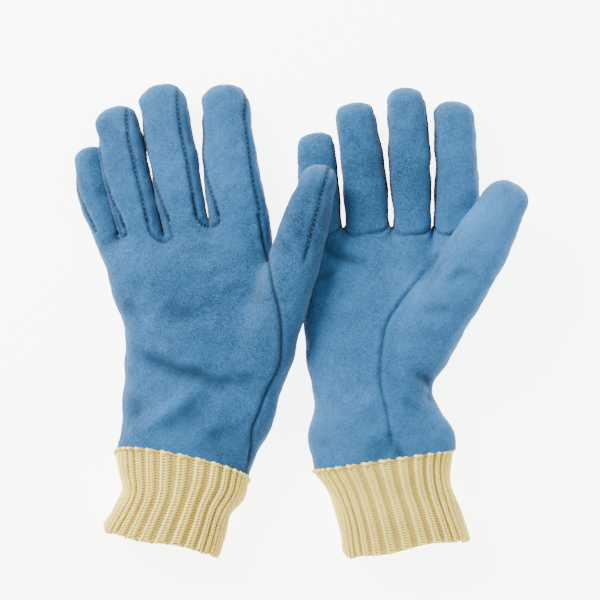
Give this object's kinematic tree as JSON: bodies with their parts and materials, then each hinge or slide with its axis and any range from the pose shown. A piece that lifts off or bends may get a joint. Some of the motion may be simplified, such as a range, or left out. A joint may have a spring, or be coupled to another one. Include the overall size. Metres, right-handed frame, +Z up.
{
  "type": "cryogenic gloves",
  "caption": "Pair of insulated blue suede gloves with cream rib-knit wrists, laid side by side: left glove back up, right glove palm up, thumb of one over the other.",
  "frame": {"origin": "on the bench under the middle of the pair's bounding box", "axes": "+Y towards the fingertips, +X towards the right glove, +Z up from the bench"},
  "size_m": [0.3018, 0.3102, 0.0574],
  "materials": {
    "suede": "blue split-leather suede, matt with a fine raised nap",
    "insulation": "thick quilted thermal batting, matt",
    "lining": "soft brushed off-white lining, matt",
    "knit": "cream rib-knitted yarn, matt"
  },
  "bodies": {
    "right_hand": {"right_hand_back": "suede", "right_hand_palm": "suede", "right_thumb_root": "suede", "right_hand_insulation": "insulation", "right_thumb_root_insulation": "insulation", "right_hand_lining": "lining", "right_knit_cuff": "knit", "right_cuff_seam": "knit", "right_finger_gussets": "suede"},
    "left_hand": {"left_hand_back": "suede", "left_hand_palm": "suede", "left_thumb_root": "suede", "left_hand_insulation": "insulation", "left_thumb_root_insulation": "insulation", "left_hand_lining": "lining", "left_knit_cuff": "knit", "left_cuff_seam": "knit", "left_finger_gussets": "suede"},
    "right_index": {"right_index_back": "suede", "right_index_little_side": "suede", "right_index_front": "suede", "right_index_liner": "insulation"},
    "right_middle": {"right_middle_back": "suede", "right_middle_thumb_side": "suede", "right_middle_little_side": "suede", "right_middle_front": "suede", "right_middle_liner": "insulation"},
    "right_ring": {"right_ring_back": "suede", "right_ring_thumb_side": "suede", "right_ring_little_side": "suede", "right_ring_front": "suede", "right_ring_liner": "insulation"},
    "right_little": {"right_little_back": "suede", "right_little_thumb_side": "suede", "right_little_front": "suede", "right_little_liner": "insulation"},
    "right_thumb": {"right_thumb_back": "suede", "right_thumb_front": "suede", "right_thumb_liner": "insulation"},
    "left_index": {"left_index_back": "suede", "left_index_little_side": "suede", "left_index_front": "suede", "left_index_liner": "insulation"},
    "left_middle": {"left_middle_back": "suede", "left_middle_thumb_side": "suede", "left_middle_little_side": "suede", "left_middle_front": "suede", "left_middle_liner": "insulation"},
    "left_ring": {"left_ring_back": "suede", "left_ring_thumb_side": "suede", "left_ring_little_side": "suede", "left_ring_front": "suede", "left_ring_liner": "insulation"},
    "left_little": {"left_little_back": "suede", "left_little_thumb_side": "suede", "left_little_front": "suede", "left_little_liner": "insulation"},
    "left_thumb": {"left_thumb_back": "suede", "left_thumb_front": "suede", "left_thumb_liner": "insulation"}
  },
  "joints": [
    {"name": "left_glove_lift", "type": "slide", "parent": "right_hand", "child": "left_hand", "axis": [0, 0, 1], "range_m": [0, 0.15]},
    {"name": "right_index_curl", "type": "hinge", "parent": "right_hand", "child": "right_index", "pos_m": [0.1045, 0.0556, 0.0292], "axis": [0.9998, 0.0175, 0], "range_deg": [0, 40], "stiffness_Nm_per_rad": 0.3},
    {"name": "right_middle_curl", "type": "hinge", "parent": "right_hand", "child": "right_middle", "pos_m": [0.074, 0.056, 0.0292], "axis": [0.9986, 0.0523, 0], "range_deg": [0, 60], "stiffness_Nm_per_rad": 0.3},
    {"name": "right_ring_curl", "type": "hinge", "parent": "right_hand", "child": "right_ring", "pos_m": [0.0445, 0.057, 0.0272], "axis": [0.9945, 0.1045, 0], "range_deg": [0, 60], "stiffness_Nm_per_rad": 0.3},
    {"name": "right_little_spread", "type": "hinge", "parent": "right_hand", "child": "right_little", "pos_m": [0.00481, 0.05561, 0.0112], "axis": [0, 0, 1], "range_deg": [0, 12], "stiffness_Nm_per_rad": 0.3},
    {"name": "right_thumb_curl", "type": "hinge", "parent": "right_hand", "child": "right_thumb", "pos_m": [0.11014, 0.04594, 0.05352], "axis": [0.7233, -0.3846, 0.5736], "range_deg": [0, 35], "stiffness_Nm_per_rad": 0.3},
    {"name": "left_index_curl", "type": "hinge", "parent": "left_hand", "child": "left_index", "pos_m": [-0.039, 0.0605, 0], "axis": [-0.9925, -0.1219, 0], "range_deg": [0, 60], "stiffness_Nm_per_rad": 0.3},
    {"name": "left_middle_curl", "type": "hinge", "parent": "left_hand", "child": "left_middle", "pos_m": [-0.0725, 0.057, 0], "axis": [-0.9848, -0.1736, 0], "range_deg": [0, 60], "stiffness_Nm_per_rad": 0.3},
    {"name": "left_ring_curl", "type": "hinge", "parent": "left_hand", "child": "left_ring", "pos_m": [-0.101, 0.0535, 0], "axis": [-0.9744, -0.225, 0], "range_deg": [0, 60], "stiffness_Nm_per_rad": 0.3},
    {"name": "left_little_curl", "type": "hinge", "parent": "left_hand", "child": "left_little", "pos_m": [-0.1268, 0.0505, 0], "axis": [-0.9703, -0.2419, 0], "range_deg": [0, 60], "stiffness_Nm_per_rad": 0.3},
    {"name": "left_thumb_swing", "type": "hinge", "parent": "left_hand", "child": "left_thumb", "pos_m": [-0.01586, 0.05405, 0.04], "axis": [0, 0, 1], "range_deg": [0, 25], "stiffness_Nm_per_rad": 0.3}
  ]
}
